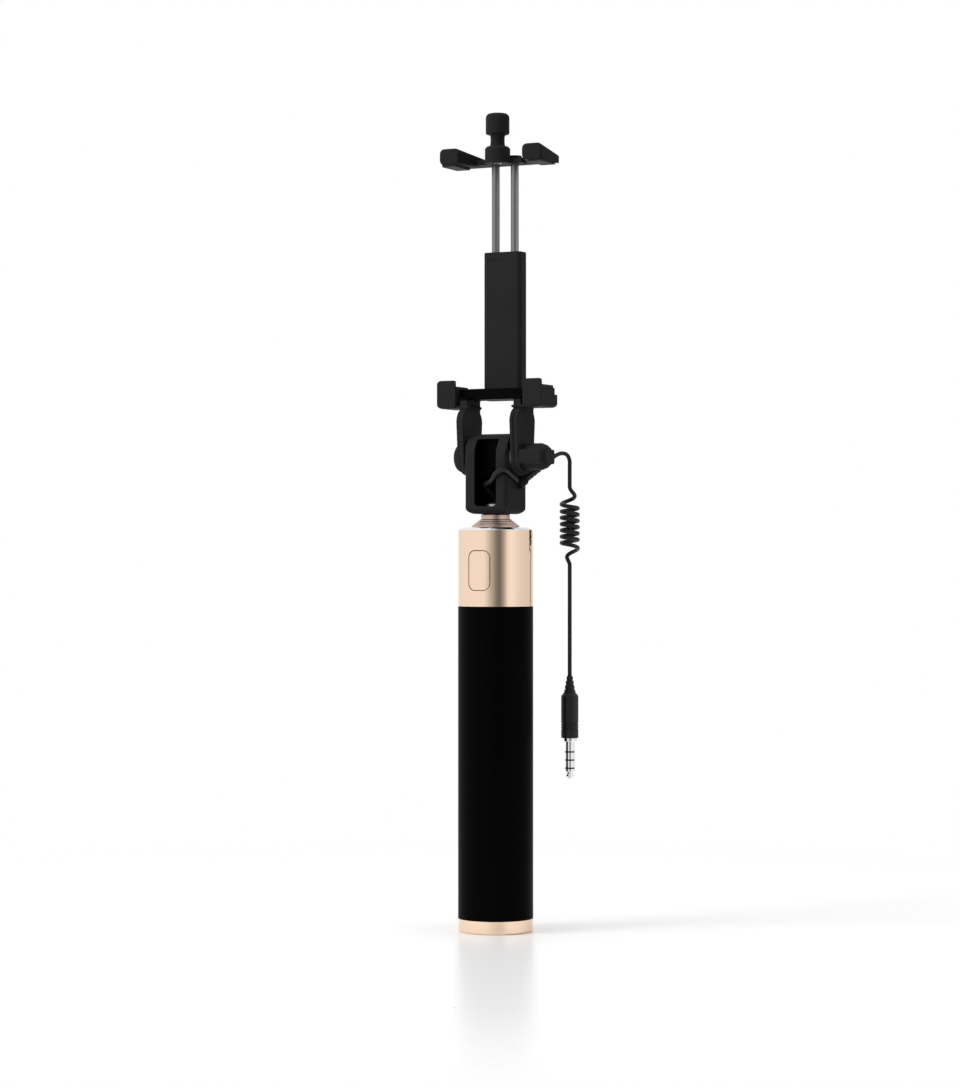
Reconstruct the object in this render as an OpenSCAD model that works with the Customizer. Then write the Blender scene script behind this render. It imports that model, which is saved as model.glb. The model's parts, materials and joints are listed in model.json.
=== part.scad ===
// Telescopic selfie stick with a folding phone clamp and a wired shutter button.
// Origin: centre of the base cap on the floor. +Z up the stick, +X along the clamped
// phone's long side, -Y towards the shutter button and the phone's screen.

/* [Handle] */
// Outside diameter of the handle
handle_d = 27.4; // [26:0.1:34]
// Height of the metal cap at the bottom
base_cap_h = 4.75; // [3:0.25:12]
// Length of the black grip
grip_h = 113.55; // [90:0.05:150]
// Length of the metal collar above the grip
collar_h = 27.6; // [24:0.1:40]
// Height of the bright ring on top of the collar
trim_h = 1.1; // [0.8:0.1:3]
// Wall of the grip, the collar and the cap's skirt
skin_t = 1.1; // [0.8:0.1:1.4]
// Wall of the handle's inner tube
handle_wall = 0.8; // [0.6:0.1:1.2]

/* [Shutter button] */
// Width of the button's window in the collar
button_w = 8.8; // [7:0.1:10]
// Height of the button's window in the collar
button_h = 14.65; // [10:0.05:16]
// Corner radius of the window
button_r = 2.7; // [1:0.1:3.4]
// Height of the button's centre above the bottom of the collar
button_up = 13.05; // [11:0.05:16]
// How far the button goes in
button_travel = 0.4; // [0.2:0.05:0.6]
// Gap round the button
button_gap = 0.25; // [0.15:0.05:0.4]

/* [Telescopic tubes] */
// Outside diameter of the thinnest tube
thin_tube_d = 10.6; // [10.2:0.1:11]
// Difference in diameter from one tube to the next
tube_step = 1.7; // [1.6:0.05:1.8]
// Wall of each tube
tube_wall = 0.4; // [0.3:0.05:0.5]
// How far each tube draws out
tube_travel = 95; // [40:1:96]
// Height that each tube stands above the one outside it
tube_rise = 0.65; // [0.5:0.05:3]
// Height that the thinnest tube stands above the others
neck_up = 1.85; // [0.5:0.05:4]
// Length of the plastic bush at the foot of each tube
bush_h = 8; // [4:0.5:12]

/* [Hinge] */
// Width of the hinge block between the two arms
block_w = 16.8; // [15:0.1:22]
// Depth of the hinge block, twice the radius of its round top
block_d = 17.1; // [16:0.1:22]
// Height of the pivot above the bottom of the block
pivot_up = 20.7; // [18:0.1:30]
// Width of the window in the block
window_w = 8.75; // [6:0.05:10]
// Diameter of the pivot bolt
bolt_d = 4; // [3:0.1:5]
// Thickness of each friction washer
washer_t = 1; // [0.6:0.1:2]
// Thickness of each arm
arm_t = 3; // [2.4:0.1:5]
// Radius of each arm's round end
arm_r = 6.9; // [5.8:0.1:7]
// Reach of the thumb nut beyond the arm
nut_reach = 9.4; // [8:0.1:14]

/* [Phone clamp] */
// Opening between the jaws as stored
opening = 80.6; // [66:0.1:85]
// Depth of the space that the phone's thickness takes
phone_t = 8; // [6:0.1:9]
// Distance from the pivot up to the underside of the lower jaw
fork_h = 17.9; // [16:0.1:24]
// Height of the lower jaw up to the phone's edge
jaw_h = 8.2; // [7:0.1:12]
// Distance from the middle to the centre of each finger
finger_x = 17.5; // [17:0.1:26]
// Width of each finger
finger_w = 7.7; // [6:0.1:8]
// Height of the guide column above the phone's lower edge
column_h = 49.4; // [44:0.1:60]
// Diameter of each guide rod
rod_d = 3; // [2.4:0.1:3.4]
// Travel of the upper jaw down from the stored opening
jaw_down = 22; // [10:0.5:22]
// Travel of the upper jaw up from the stored opening
jaw_up = 4.4; // [0:0.1:6]

/* [Plug and lead] */
// Diameter of the standard 3.5 mm jack's pin
pin_d = 3.5; // [3.5]
// Length of the pin beyond the plug
pin_len = 14; // [14:0.5:15]
// Diameter of the plug's moulded body
plug_d = 6.4; // [6:0.1:8]
// Length of the plug's moulded body
plug_len = 16.7; // [14:0.1:24]

/* [Hidden] */

// Colours of the real finishes.
gold = [0.86, 0.72, 0.62];
rose = [0.62, 0.44, 0.38];
chrome = [0.85, 0.85, 0.87];
steel = [0.66, 0.67, 0.69];
brass = [0.80, 0.66, 0.36];
grip_black = [0.07, 0.07, 0.07];
head_black = [0.14, 0.14, 0.15];
rubber_grey = [0.22, 0.22, 0.23];
pcb_green = [0.10, 0.35, 0.20];
natural_nylon = [0.85, 0.84, 0.80];

// Clearances.
slide_gap = 0.06;
turn_gap = 0.05;
free_gap = 0.25;
eps = 0.01;
big = 60;

// Heights along the handle.
handle_r = handle_d / 2;
core_r = handle_r - skin_t;
bore_r = core_r - handle_wall;
grip_z = base_cap_h;
collar_z = grip_z + grip_h;
trim_z = collar_z + collar_h;
handle_top = trim_z + trim_h;
trim_chamfer = 0.85;
cap_round = 0.8;

// The button and the switch behind it, along -Y.
button_z = collar_z + button_up;
button_dish = 0.25;
button_back = core_r - 0.55;
tongue_w = 7;
tongue_h = 1.25;
tongue_t = 0.7;
tongue_back = button_back - tongue_t;
stem_r = 1;
switch_front = tongue_back - button_travel - 0.1;
switch_size = 4.5;
switch_t = 1;
board_t = 0.6;
board_w = 7;
board_h = 13;
switch_back = switch_front - switch_t;
board_back = switch_back - board_t;

// The nest of tubes: number 1 is the widest, and the last carries the head.
tube_n = 5;
function tube_r(i) = (thin_tube_d + (tube_n - i) * tube_step) / 2;
function tube_top(i) = handle_top + 1 + (min(i, tube_n - 1) - 1) * tube_rise + (i == tube_n ? neck_up : 0);
tube_foot = 11;
inner_z = 8.2;
neck_lip = tube_top(1) - tube_foot - bush_h - tube_travel - 1;
widest_r = tube_r(1);
thin_top = tube_top(tube_n);
function bore_of(i) = tube_r(i) - tube_wall;

// The head's swivel.
plug_r = bore_of(tube_n) - eps;
plug_in = 12;
swivel_r = 3;
wire_r = 0.9;
swivel_gap = 0.1;
floor_t = 2.7;
block_z = thin_top + swivel_gap;
window_z = block_z + floor_t;
pivot_z = block_z + pivot_up;
block_r = block_d / 2;
block_top = pivot_z + block_r;
edge_r = 3;
corner_r = 1.2;
roof_t = 2.1;
window_back = bolt_d / 2 + 0.6;
pocket_back = 5.2;
pocket_h = 11;
bolt_r = bolt_d / 2;

// The arms stand outside the washers.
washer_x = block_w / 2;
arm_in = washer_x + washer_t + turn_gap;
arm_out = arm_in + arm_t;
arm_half = 7.9;
arm_round = 5;
rim_t = 1.2;
rim_step = 0.5;
jaw_z = pivot_z + fork_h;
phone_z = jaw_z + jaw_h;
phone_y = 0.1;
phone_front = phone_y - phone_t / 2;
phone_rear = phone_y + phone_t / 2;
pad_t = 1;
lip_t = 1.8;
lip_up = 2.3;
finger_front = phone_front - lip_t;
finger_back = 7.8;
finger_r = 1.3;
finger_corner_r = 1.7;
seat_end = 2.2;
rear_drop = 3.4;
bar_z = jaw_z + 3.2;
bar_front = -2.5;

// The column behind the phone and the rods in it.
column_front = phone_rear + 0.5;
column_y = column_front + 3.2;
column_w = 15.2;
column_d = 6.4;
cap_h = 3;
column_top = phone_z + column_h;
chamber_floor = 2.9;
chamber_z = phone_z - chamber_floor;
rod_x = 3.9;
rod_r = rod_d / 2;
foot_r = 2.45;
foot_h = 2;
chamber_r = 2.55;
foot_end_gap = 0.8;
foot_z = chamber_z + jaw_down + foot_end_gap;
spring_wire_r = 0.25;
spring_pitch = 2.6;
upper_z = phone_z + opening;
upper_pad_t = 0.8;
claw_z = upper_z + upper_pad_t;
claw_h = 5.8;
claw_back_h = 2.6;
claw_front = phone_front - 0.9;
claw_back = 10.6;
bridge_t = 1.9;
knob_y = 1.6;
boss_r = 4.65;
boss_edge = 0.8;
boss_top = claw_z + claw_h + 0.4;
knob_neck_r = 2.6;
knob_neck_h = 4.4;
knob_r = 4.35;
knob_h = 7.7;
knob_round = 1.8;

// The thumb nut.
nut_in = arm_out + turn_gap;
nut_bar_h = 5.3;
nut_bar_half = 6.4;
nut_hub_r = 4.9;
insert_r = 3.2;
insert_len = 6;
cap_reach = 3.3;
cap_r = 5.35;

// The lead from the neck, over the block's right wall and into the strain relief.
// The heights of the lead, the relief, the cord and the plug count from the block's foot.
lead_route = [
    [0, 0, -4.9], [0, 0, 0.1], [0, 0, 4.7], [-0.8, -1.4, 7.3], [-1.8, -3.6, 9.7], [-0.9, -5.6, 11],
    [1, -7, 11.3], [3.2, -8.6, 12.7], [4.8, -9.6, 14.4], [6.6, -9.8, 15.5], [8, -9.3, 15.8],
    [8.4, -7.8, 15.5], [8.4, -5.2, 14.5], [8.4, -2.6, 13.4], [8.6, -0.4, 12.5], [8.7, 0.8, 11.9]
];
relief_start = [9, 2.2, 11.5];
relief_end = [16, 14.6, 20.7];
relief_r = 1.45;
relief_tip_r = 1.1;
relief_lap = 0.5;

// The free cord: up out of the relief, over, and down to its curl, all by hand.
cord_r = 0.75;
cord_route = [
    [16, 14.6, 20.7], [17, 16.3, 21.9], [18.2, 18.2, 22.5], [19.4, 19.8, 21.9],
    [20, 20.7, 19.9], [20, 20.8, 17.5], [20, 20.8, 14.3], [20, 20.8, 11.1]
];
curl_x = 20;
curl_y = 20.8;
curl_top = 11.1;
curl_foot = -18.9;
curl_r = 3.75;
tail_route = [
    [20, 20.8, -18.9], [20, 20.8, -23.9], [20, 20.8, -29.9], [20, 20.8, -35.9], [20, 20.8, -41.9],
    [20, 20.8, -47.9], [20, 20.8, -53.9], [20, 20.8, -58.9]
];
tail_foot = -58.9;
plug_relief_h = 6.6;
plug_relief_r = 1.6;
plug_top = tail_foot - plug_relief_h;
plug_foot = plug_top - plug_len;
plug_ring_h = 1.2;
pin_r = pin_d / 2;
pin_tip_h = 3;

// A tube swept along points: rings square to the path, joined into one closed surface.
function unit(v) = v / norm(v);
function along(p, i) = unit(p[min(i + 1, len(p) - 1)] - p[max(i - 1, 0)]);
function carry(n, t) = unit(n - (n * t) * t);
function normals(p, i, n) = i == len(p)
    ? []
    : let (m = carry(n, along(p, i))) concat([m], normals(p, i + 1, m));
function first_normal(t) = abs(t.x) > 0.9 ? carry([0, 1, 0], t) : carry([1, 0, 0], t);
function ring(c, t, n, r, sides) = [
    for (k = [0 : sides - 1])
        let (a = 360 * k / sides) c + r * (cos(a) * n + sin(a) * cross(t, n))
];
function mid(a, b, c, d, u) = 0.5 * ((2 * b) + (c - a) * u + (2 * a - 5 * b + 4 * c - d) * u * u
    + (3 * b - a - 3 * c + d) * u * u * u);
function smooth_path(p, steps) = concat(
    [
        for (i = [0 : len(p) - 2], k = [0 : steps - 1])
            mid(p[max(i - 1, 0)], p[i], p[i + 1], p[min(i + 2, len(p) - 1)], k / steps)
    ],
    [p[len(p) - 1]]
);

module sweep(p, r, sides = 8) {
    n = normals(p, 0, first_normal(along(p, 0)));
    last = len(p) - 1;
    points = [for (i = [0 : last]) each ring(p[i], along(p, i), n[i], r, sides)];
    walls = [
        for (i = [0 : last - 1], k = [0 : sides - 1])
            let (a = i * sides + k, b = i * sides + (k + 1) % sides)
                each [[a, a + sides, b], [b, a + sides, b + sides]]
    ];
    foot = [[for (k = [0 : sides - 1]) k]];
    head = [[for (k = [sides - 1 : -1 : 0]) last * sides + k]];
    polyhedron(points = points, faces = concat(walls, foot, head), convexity = 6);
}

// Exact building shapes.
module tube_ring(r_out, r_in, z0, z1) {
    translate([0, 0, z0])
        difference() {
            cylinder(r = r_out, h = z1 - z0, $fn = 96);
            translate([0, 0, -eps])
                cylinder(r = r_in, h = z1 - z0 + 2 * eps, $fn = 96);
        }
}

module rounded_rect(w, h, r) {
    square([w - 2 * r, h], center = true);
    square([w, h - 2 * r], center = true);
    for (x = [-1, 1], y = [-1, 1])
        translate([x * (w / 2 - r), y * (h / 2 - r)])
            circle(r = r, $fn = 48);
}

module along_x(x0, x1) {
    translate([x0, 0, 0])
        rotate([90, 0, 90])
            linear_extrude(height = x1 - x0)
                children();
}

module along_y(y0, y1) {
    translate([0, y1, 0])
        rotate([90, 0, 0])
            linear_extrude(height = y1 - y0)
                children();
}

module rod_between(a, b, r) {
    d = b - a;
    translate(a)
        rotate([0, acos(d.z / norm(d)), atan2(d.y, d.x)])
            cylinder(r = r, h = norm(d), $fn = 48);
}

module cone_between(a, b, r1, r2) {
    d = b - a;
    translate(a)
        rotate([0, acos(d.z / norm(d)), atan2(d.y, d.x)])
            cylinder(r1 = r1, r2 = r2, h = norm(d), $fn = 48);
}

module slab(x0, x1, y0, y1, z0, z1) {
    translate([x0, y0, z0])
        cube([x1 - x0, y1 - y0, z1 - z0]);
}

module both_sides() {
    children();
    mirror([1, 0, 0])
        children();
}

// ---- Handle ----
cap_floor = 1.2;
screw_r = 1.5;
screw_head_r = 2.8;

module base_cap() color(gold)
    difference() {
        rotate_extrude($fn = 96)
            union() {
                translate([handle_r - cap_round, cap_round])
                    circle(r = cap_round, $fn = 48);
                square([handle_r - cap_round, base_cap_h]);
                translate([0, cap_round])
                    square([handle_r, base_cap_h - cap_round]);
            }
        translate([0, 0, cap_floor + 1.2])
            cylinder(r = core_r, h = base_cap_h, $fn = 96);
        translate([0, 0, cap_floor])
            cylinder(r = screw_head_r + free_gap, h = base_cap_h, $fn = 48);
    }

plug_floor = cap_floor + 1.2;
plug_h = 3;

module bottom_plug() color(head_black)
    difference() {
        translate([0, 0, plug_floor + handle_wall])
            cylinder(r = bore_r, h = plug_h, $fn = 96);
        translate([0, 0, plug_floor + handle_wall - eps])
            cylinder(r = screw_r, h = plug_h + 1, $fn = 48);
    }

module cap_screw() color(steel) {
    translate([0, 0, cap_floor])
        cylinder(r = screw_head_r, h = plug_floor + handle_wall - cap_floor, $fn = 48);
    translate([0, 0, plug_floor])
        cylinder(r = screw_r, h = 4, $fn = 48);
}

tube_window_w = tongue_w + 1.4;
tube_window_h = button_h + 2 * tongue_h + 0.8;

module handle_tube() color(steel)
    difference() {
        tube_ring(core_r, bore_r, plug_floor, trim_z);
        translate([0, 0, button_z])
            along_y(-handle_r, -bore_r + 3)
                rounded_rect(max(button_w + 0.4, tube_window_w), tube_window_h, 1.5);
    }

module grip_sleeve() color(grip_black)
    tube_ring(handle_r, core_r, grip_z, collar_z);

module collar() color(gold)
    difference() {
        tube_ring(handle_r, core_r, collar_z, trim_z);
        translate([0, 0, button_z])
            along_y(-handle_r - 1, 0)
                rounded_rect(button_w, button_h, button_r);
    }

module trim_ring() color(chrome)
    difference() {
        rotate_extrude($fn = 96)
            polygon([
                [widest_r + 0.35, trim_z], [handle_r, trim_z],
                [handle_r, handle_top - trim_chamfer], [handle_r - trim_chamfer, handle_top],
                [widest_r + 0.35, handle_top]
            ]);
        cylinder(r = widest_r + 0.35, h = big * 5, $fn = 96);
    }

guide_h = 5.2;

module guide_bush() color(head_black)
    tube_ring(bore_r, widest_r + slide_gap, trim_z - guide_h, trim_z);

carrier_gap = 0.4;
carrier_top = trim_z - guide_h;
carrier_foot = collar_z + 1;

module switch_carrier() color(head_black)
    difference() {
        tube_ring(bore_r, widest_r + carrier_gap, carrier_foot, carrier_top);
        slab(-board_w / 2, board_w / 2, -big, -board_back, button_z - board_h / 2, button_z + board_h / 2);
        translate([0, 0, button_z])
            along_y(-big, -tongue_back + button_travel + 0.1)
                rounded_rect(tube_window_w, tube_window_h, 1.5);
        slab(-2, 2, -big, -board_back, carrier_foot - 1, button_z);
    }

module switch_board() color(pcb_green)
    slab(-board_w / 2, board_w / 2, -switch_back, -board_back, button_z - board_h / 2, button_z + board_h / 2);

module tact_switch() color(steel)
    difference() {
        slab(-switch_size / 2, switch_size / 2, -switch_front, -switch_back,
            button_z - switch_size / 2, button_z + switch_size / 2);
        translate([0, 0, button_z])
            along_y(-switch_front - 1, -switch_back - 0.2)
                circle(r = stem_r + turn_gap, $fn = 48);
    }

// The fixed wire runs from the board down between the tubes and the handle, then inwards.
handle_lead_r = 0.6;
handle_lead_y = -bore_r + 1.2;
handle_lead_bend = 1.2;

module handle_lead() color(grip_black)
    sweep(
        concat(
            [for (z = [0, 0.7]) [0, -board_back - handle_lead_r, button_z - board_h / 2 - z]],
            [for (z = [button_z - board_h / 2 - 2.6 : -6.4 : inner_z + 4]) [0, handle_lead_y, z]],
            [
                for (a = [180 : 30 : 270])
                    [
                        0, handle_lead_y + handle_lead_bend * (1 + cos(a)),
                        inner_z - handle_lead_r + handle_lead_bend * (1 + sin(a))
                    ]
            ],
            [[0, -1.5, inner_z - handle_lead_r]]
        ),
        handle_lead_r
    );

// ---- Shutter button ----
module shutter_button() color(gold)
    difference() {
        union() {
            intersection() {
                cylinder(r = handle_r, h = big * 5, $fn = 96);
                translate([0, 0, button_z])
                    along_y(-handle_r - 1, -button_back)
                        rounded_rect(button_w - 2 * button_gap, button_h - 2 * button_gap, button_r - button_gap);
            }
            slab(-tongue_w / 2, tongue_w / 2, -button_back, -tongue_back,
                button_z - button_h / 2 - tongue_h, button_z + button_h / 2 + tongue_h);
        }
        translate([0, -handle_r - big + button_dish, button_z])
            rotate([0, 90, 0])
                cylinder(r = big, h = big, center = true, $fn = 200);
    }

module switch_stem() color(natural_nylon)
    translate([0, 0, button_z])
        along_y(-tongue_back, -tongue_back + button_travel + 0.35)
            circle(r = stem_r, $fn = 48);

// ---- Telescopic tubes ----
module tube(i) color(i == tube_n ? rose : gold)
    difference() {
        union() {
            tube_ring(tube_r(i), bore_of(i), tube_foot, tube_top(i));
            if (i < tube_n)
                tube_ring(tube_r(i) - eps, tube_r(i + 1) + slide_gap, tube_top(i) - neck_lip, tube_top(i));
        }
        translate([0, 0, tube_top(i)])
            rotate_extrude($fn = 96)
                polygon([[tube_r(i) - 0.3, eps], [tube_r(i) + 1, eps], [tube_r(i) + 1, -1.3]]);
    }

module tube_1() tube(1);
module tube_2() tube(2);
module tube_3() tube(3);
module tube_4() tube(4);
module tube_5() tube(5);

function bush_out(i) = (i == 1 ? bore_r : bore_of(i - 1)) - slide_gap;
bush_step = 2;

module tube_bush(i) color(natural_nylon)
    difference() {
        tube_ring(bush_out(i), bore_of(i), tube_foot - bush_step, tube_foot + bush_h);
        translate([0, 0, tube_foot])
            cylinder(r = tube_r(i), h = bush_h + 1, $fn = 96);
        // The widest bush is notched, to pass the fixed wire.
        if (i == 1)
            slab(-handle_lead_r - free_gap, handle_lead_r + free_gap, -handle_r, handle_lead_y + handle_lead_r + free_gap,
                0, big);
    }

module tube_bush_1() tube_bush(1);
module tube_bush_2() tube_bush(2);
module tube_bush_3() tube_bush(3);
module tube_bush_4() tube_bush(4);
module tube_bush_5() tube_bush(5);

// The plug in the thinnest tube ends in a hollow pin, on which the head turns.
clip_t = 0.8;
clip_groove = 0.5;
clip_z = window_z + swivel_gap;

module neck_plug() color(head_black)
    difference() {
        union() {
            translate([0, 0, thin_top - plug_in])
                cylinder(r = plug_r + eps, h = plug_in, $fn = 96);
            translate([0, 0, thin_top - eps])
                cylinder(r = swivel_r, h = clip_z + clip_t + 0.6 - thin_top, $fn = 64);
        }
        cylinder(r = wire_r + 0.1, h = big * 5, $fn = 48);
        tube_ring(swivel_r + 1, swivel_r - clip_groove, clip_z, clip_z + clip_t);
    }

module swivel_clip() color(steel)
    tube_ring(swivel_r + 1.2, swivel_r - clip_groove, clip_z, clip_z + clip_t);

// The inner lead is a tight coil of wire, held as its outer shape.
coil_r = 3.9;

module coiled_inner_lead() color(grip_black)
    translate([0, 0, inner_z])
        cylinder(r = coil_r, h = thin_top - plug_in - inner_z, $fn = 64);

// ---- Hinge block ----
module block_body()
    intersection() {
        along_x(-block_w / 2, block_w / 2)
            union() {
                translate([0, pivot_z])
                    circle(r = block_r, $fn = 128);
                translate([0, (block_z + pivot_z) / 2])
                    rounded_rect(block_d, pivot_z - block_z, edge_r);
                translate([-block_r, (block_z + pivot_z) / 2])
                    square([block_d, (pivot_z - block_z) / 2]);
            }
        translate([0, 0, (block_z + block_top) / 2])
            along_y(-big, big)
                rounded_rect(block_w, block_top - block_z, edge_r);
        translate([0, 0, block_z - 1])
            linear_extrude(height = block_top - block_z + 2)
                rounded_rect(block_w, block_d, corner_r);
    }

window_top = block_top - roof_t;
groove_x = 7.1;
groove_w = 2.3;
groove_front = [-12, 17];
groove_back = [3, 11.2];

module hinge_block() color(head_black)
    difference() {
        block_body();
        translate([0, 0, (window_z + window_top) / 2])
            along_y(-big, -window_back)
                rounded_rect(window_w, window_top - window_z, 1.5);
        slab(-window_w / 2, window_w / 2, -window_back - 2, pocket_back, window_z, window_z + pocket_h);
        translate([0, 0, block_z - 1])
            cylinder(r = swivel_r + turn_gap, h = floor_t + 2, $fn = 64);
        along_x(-big, big)
            translate([0, pivot_z])
                circle(r = bolt_r + turn_gap, $fn = 64);
        // The lead's groove along the right side, and the seat of its socket.
        translate([groove_x, groove_front.x, block_z + groove_front.y])
            rotate([atan2(groove_back.y - groove_front.y, groove_back.x - groove_front.x), 0, 0])
                translate([0, 0, -groove_w / 2])
                    cube([big, norm(groove_back - groove_front), groove_w]);
        translate([0, 0, block_z])
            rod_between(socket_back, relief_end, socket_r + 0.02);
    }

module friction_washers() color(steel)
    both_sides()
        along_x(washer_x, washer_x + washer_t)
            translate([0, pivot_z])
                difference() {
                    circle(r = arm_r - 1, $fn = 64);
                    circle(r = bolt_r + turn_gap, $fn = 64);
                }

module lead_wire() color(grip_black)
    translate([0, 0, block_z])
        sweep(smooth_path(lead_route, 3), wire_r);

function toward(a, b, d) = a + unit(b - a) * d;
socket_len = 2.2;
socket_back = toward(relief_start, relief_end, -1.3);
socket_r = relief_r + 0.6;

module lead_socket() color(head_black)
    translate([0, 0, block_z])
        difference() {
            rod_between(socket_back, toward(relief_start, relief_end, socket_len), socket_r);
            rod_between(relief_start, relief_end, relief_r);
            sweep(smooth_path(lead_route, 3), wire_r);
        }

module strain_relief() color(grip_black)
    translate([0, 0, block_z]) {
        rod_between(relief_start, toward(relief_start, relief_end, socket_len + relief_lap), relief_r);
        cone_between(toward(relief_start, relief_end, socket_len), relief_end, relief_r, relief_tip_r);
    }

// ---- Free cord and plug ----
module cord_lead() color(grip_black)
    translate([0, 0, block_z])
        sweep(smooth_path(cord_route, 2), cord_r);

module cord_curl() color(grip_black)
    translate([curl_x, curl_y, block_z + curl_foot])
        cylinder(r = curl_r, h = curl_top - curl_foot, $fn = 48);

module cord_tail() color(grip_black)
    translate([0, 0, block_z])
        sweep(tail_route, cord_r);

relief_rings = 3;

module plug_relief() color(grip_black)
    translate([curl_x, curl_y, block_z + plug_top])
        difference() {
            cylinder(r1 = plug_relief_r + 0.5, r2 = plug_relief_r - 0.4, h = plug_relief_h, $fn = 48);
            for (i = [1 : relief_rings])
                translate([0, 0, i * plug_relief_h / (relief_rings + 1) - 0.35])
                    tube_ring(plug_relief_r + 2, plug_relief_r - 0.35, 0, 0.7);
        }

module plug_body() color(grip_black)
    translate([curl_x, curl_y, block_z + plug_foot])
        rotate_extrude($fn = 64)
            polygon([
                [0, 0], [plug_d / 2 - 0.4, 0], [plug_d / 2, 0.4], [plug_d / 2, plug_len - 1.6],
                [plug_relief_r + 0.9, plug_len], [0, plug_len]
            ]);

module plug_ring() color(chrome)
    translate([curl_x, curl_y, block_z + plug_foot - plug_ring_h])
        cylinder(r = plug_d / 2 - 0.6, h = plug_ring_h, $fn = 64);

module plug_pin() color(chrome)
    translate([curl_x, curl_y, block_z + plug_foot - plug_ring_h - pin_len])
        rotate_extrude($fn = 64)
            polygon([
                [0, 0], [0.5, 0], [pin_r - 0.05, 1.2], [pin_r - 0.6, 2.2], [pin_r - 0.6, 2.5],
                [pin_r, pin_tip_h], [pin_r, pin_len], [0, pin_len]
            ]);

// ---- Clamp on the hinge ----
bolt_head_t = 1.6;

module pivot_bolt() color(steel) {
    along_x(-arm_out - bolt_head_t, nut_in + nut_reach - 1.6)
        translate([0, pivot_z])
            circle(r = bolt_r, $fn = 64);
    along_x(-arm_out - bolt_head_t, -arm_out)
        translate([0, pivot_z])
            circle(r = bolt_r * 1.75, $fn = 6);
}

module pivot_cap() color(head_black)
    difference() {
        translate([-arm_out, 0, pivot_z])
            rotate([0, -90, 0])
                rotate_extrude($fn = 64)
                    polygon([
                        [0, 0], [cap_r, 0], [cap_r, 1.2], [cap_r - 0.4, 2.1], [cap_r - 1.4, 2.9],
                        [cap_r - 2.8, cap_reach - 0.1], [0, cap_reach]
                    ]);
        along_x(-arm_out - bolt_head_t, -arm_out + 1)
            translate([0, pivot_z])
                circle(r = bolt_r * 1.75, $fn = 6);
    }

arm_top = bar_z + 1;

module arm_outline(grow) {
    hull() {
        translate([0, pivot_z])
            circle(r = arm_r + grow, $fn = 64);
        for (s = [-1, 1])
            translate([s * (arm_half - arm_round + grow), jaw_z - arm_round])
                circle(r = arm_round, $fn = 48);
    }
}

module arm()
    difference() {
        union() {
            along_x(arm_in, arm_out)
                arm_outline(-rim_step);
            along_x(arm_in, arm_in + rim_t)
                arm_outline(0);
            slab(arm_in, arm_out, -arm_half + 3.4, arm_half - 1.6, jaw_z - 2, arm_top);
        }
        along_x(0, big)
            translate([0, pivot_z])
                circle(r = bolt_r + eps, $fn = 64);
    }

module finger()
    difference() {
        intersection() {
            along_x(finger_x - finger_w / 2, finger_x + finger_w / 2)
                translate([(finger_front + finger_back) / 2, (jaw_z + phone_z + lip_up) / 2])
                    rounded_rect(finger_back - finger_front, phone_z + lip_up - jaw_z, finger_r);
            translate([finger_x, 0, (jaw_z + phone_z + lip_up) / 2])
                along_y(-big, big)
                    rounded_rect(finger_w, phone_z + lip_up - jaw_z, finger_corner_r);
        }
        // The seat that the rubber pad lines.
        slab(0, big, phone_front - pad_t, big, phone_z - pad_t, big * 5);
        slab(0, big, finger_back - seat_end, big, phone_z - rear_drop, big * 5);
    }

cap_screw_r = 0.8;
cap_screw_in = 5;
cap_screw_head_r = 1.5;
cap_screw_head_t = 0.9;
cap_sink = 1.2;
column_screw_x = 5.6;
column_screw_z = bar_z + 1.15;
column_screw_in = 4;
column_screw_head_r = 1.15;
column_r = 1.6;

module lower_jaw() color(head_black)
    difference() {
        union() {
            both_sides() {
                arm();
                finger();
                slab(arm_in - 0.6, finger_x, finger_front + 0.6, finger_back - 1.5, jaw_z, jaw_z + 0.9);
            }
            slab(-finger_x, finger_x, bar_front, finger_back - 1, bar_z, phone_z - pad_t);
            slab(-column_w / 2, column_w / 2, 0, finger_back - 1, bar_z, phone_z - pad_t);
        }
        slab(-column_w / 2, column_w / 2, column_front, big, bar_z, big * 5);
        both_sides()
            translate([column_screw_x, 0, column_screw_z])
                along_y(column_front - column_screw_in, big)
                    circle(r = cap_screw_r, $fn = 32);
    }

pad_side = 0.6;

module lower_pads() color(rubber_grey)
    both_sides()
        union() {
            slab(finger_x - finger_w / 2 + pad_side, finger_x + finger_w / 2 - pad_side,
                phone_front - pad_t, finger_back - seat_end, phone_z - pad_t, phone_z);
            slab(finger_x - finger_w / 2 + pad_side, finger_x + finger_w / 2 - pad_side,
                phone_front - pad_t, phone_front, phone_z - eps, phone_z + lip_up - 0.3);
        }

module guide_column() color(head_black)
    difference() {
        translate([0, column_y, bar_z])
            linear_extrude(height = column_top - cap_h - bar_z)
                rounded_rect(column_w, column_d, column_r);
        both_sides()
            translate([rod_x, column_y, chamber_z])
                cylinder(r = chamber_r, h = big * 2, $fn = 48);
        translate([0, column_y, column_top - cap_h - cap_screw_in - 1])
            cylinder(r = cap_screw_r, h = big, $fn = 32);
        both_sides()
            translate([column_screw_x, 0, column_screw_z])
                along_y(0, big)
                    circle(r = cap_screw_r, $fn = 32);
    }

module column_cap() color(head_black)
    difference() {
        translate([0, column_y, column_top - cap_h])
            linear_extrude(height = cap_h)
                rounded_rect(column_w, column_d, column_r);
        both_sides()
            translate([rod_x, column_y, column_top - cap_h - 1])
                cylinder(r = rod_r + slide_gap, h = cap_h + 2, $fn = 48);
        translate([0, column_y, column_top - cap_h - 1])
            cylinder(r = cap_screw_r, h = cap_h + 2, $fn = 32);
        translate([0, column_y, column_top - cap_sink])
            cylinder(r = cap_screw_head_r + 0.1, h = cap_h, $fn = 32);
    }

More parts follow.
